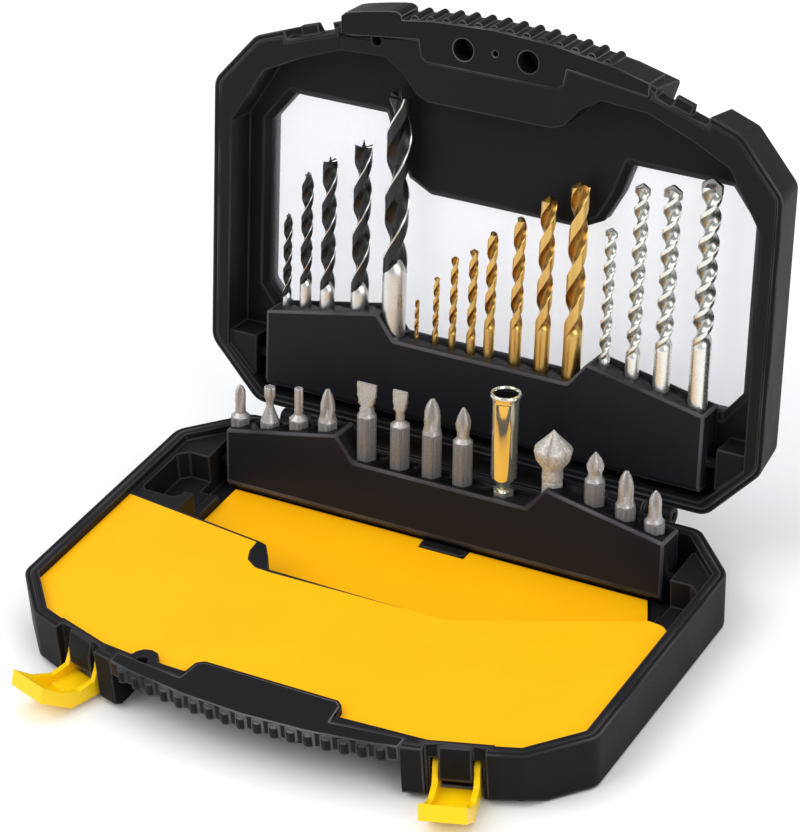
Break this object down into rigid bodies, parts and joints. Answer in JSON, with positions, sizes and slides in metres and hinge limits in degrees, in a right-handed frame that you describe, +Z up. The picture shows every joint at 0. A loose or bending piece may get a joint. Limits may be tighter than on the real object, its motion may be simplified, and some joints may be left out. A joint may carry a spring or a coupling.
{
  "type": "drill bit case",
  "caption": "Hinged black case with yellow panels, two latches, a clear window in the lid and two bars that hold drills and driver bits, shown open.",
  "frame": {"origin": "centre of the base's flat underside, midway between the hinge axis and the front edge", "axes": "+X to the right along the hinge, +Y back to the hinge, +Z up; the lid is open and leans back 9.24 degrees"},
  "size_m": [0.201, 0.2011, 0.1669],
  "materials": {
    "shell_black": "moulded black polypropylene with a fine spark-eroded grain",
    "inner_black": "smoother moulded black plastic",
    "grip_black": "moulded black plastic with ribs",
    "panel_yellow": "smooth satin yellow sheet",
    "latch_yellow": "moulded yellow plastic",
    "clear_pane": "clear polystyrene window, faintly grey",
    "zinc_steel": "zinc-plated steel",
    "bright_steel": "polished nickel-plated tube",
    "satin_steel": "tumbled satin steel",
    "black_oxide_steel": "black oxide flutes with bright ground edges",
    "titanium_coat": "titanium nitride gold coating",
    "nickel_steel": "bright nickel plate"
  },
  "bodies": {
    "base": {"base_shell": "shell_black", "base_tray": "inner_black", "base_grip": "grip_black", "front_panel": "panel_yellow", "recess_liner": "panel_yellow", "hinge_pin_left": "zinc_steel", "hinge_pin_right": "zinc_steel"},
    "lid": {"lid_shell": "shell_black", "lid_frame": "inner_black", "window_pane": "clear_pane", "lid_grip": "grip_black", "grip_screws": "black_oxide_steel", "lid_bar": "inner_black", "wood_drill_1": "black_oxide_steel", "wood_drill_2": "black_oxide_steel", "wood_drill_3": "black_oxide_steel", "wood_drill_4": "black_oxide_steel", "wood_drill_5": "black_oxide_steel", "metal_drill_1": "titanium_coat", "metal_drill_2": "titanium_coat", "metal_drill_3": "titanium_coat", "metal_drill_4": "titanium_coat", "metal_drill_5": "titanium_coat", "metal_drill_6": "titanium_coat", "metal_drill_7": "titanium_coat", "metal_drill_8": "titanium_coat", "masonry_drill_1": "nickel_steel", "masonry_drill_2": "nickel_steel", "masonry_drill_3": "nickel_steel", "masonry_drill_4": "nickel_steel"},
    "bit_bar": {"base_bar": "inner_black", "bit_holder": "bright_steel", "countersink": "satin_steel", "bit_short_1": "satin_steel", "bit_short_2": "satin_steel", "bit_short_3": "satin_steel", "bit_short_4": "satin_steel", "bit_short_5": "satin_steel", "bit_short_6": "satin_steel", "bit_short_7": "satin_steel", "bit_long_1": "satin_steel", "bit_long_2": "satin_steel", "bit_long_3": "satin_steel", "bit_long_4": "satin_steel"},
    "latch_left": {"latch_left": "latch_yellow"},
    "latch_right": {"latch_right": "latch_yellow"}
  },
  "joints": [
    {"name": "lid_hinge", "type": "hinge", "parent": "base", "child": "lid", "pos_m": [0, 0.07415, 0.0194], "axis": [1, 0, 0], "range_deg": [0, 99.15]},
    {"name": "bit_bar_fold", "type": "hinge", "parent": "base", "child": "bit_bar", "pos_m": [0, 0.05405, 0.0108], "axis": [1, 0, 0], "range_deg": [0, 97]},
    {"name": "latch_left", "type": "hinge", "parent": "base", "child": "latch_left", "pos_m": [-0.06427, -0.05844, 0.0104], "axis": [-0.9526, 0.3041, 0], "range_deg": [0, 90]},
    {"name": "latch_right", "type": "hinge", "parent": "base", "child": "latch_right", "pos_m": [0.06427, -0.05844, 0.0104], "axis": [-0.9526, -0.3041, 0], "range_deg": [0, 90]}
  ],
  "couplings": [
    {"joint": "bit_bar_fold", "follows": "lid_hinge", "ratio": 0.97743}
  ]
}
